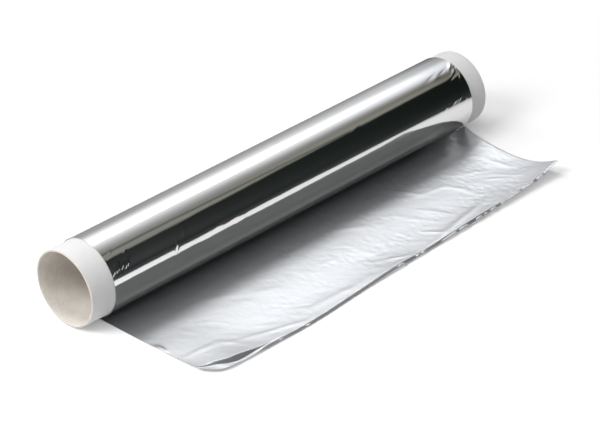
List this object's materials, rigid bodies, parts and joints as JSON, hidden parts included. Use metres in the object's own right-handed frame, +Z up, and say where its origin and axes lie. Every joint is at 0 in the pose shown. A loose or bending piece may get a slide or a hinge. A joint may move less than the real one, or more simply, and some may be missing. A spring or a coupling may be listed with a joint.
{
  "type": "aluminium foil roll",
  "caption": "Kitchen foil wound on a plain paper tube that stands out at both ends, with a short crinkled length pulled out along the table and its far corner curled up.",
  "frame": {"origin": "on the table, on the small flat under the roll, below its axis and under the middle of the foil's width", "axes": "+Y along the roll's axis, away from the end with the longer bare tube; +X the way the pulled length runs out; +Z up"},
  "size_m": [0.1261, 0.33, 0.0482],
  "materials": {
    "cardboard": "matte white-grey paper outside, buff grey inside, pale cut rims",
    "foil": "bright mirror-like turns on the roll, satin and finely crinkled on the pulled length"
  },
  "bodies": {
    "root": {"cardboard_core": "cardboard", "foil": "foil"}
  },
  "joints": []
}
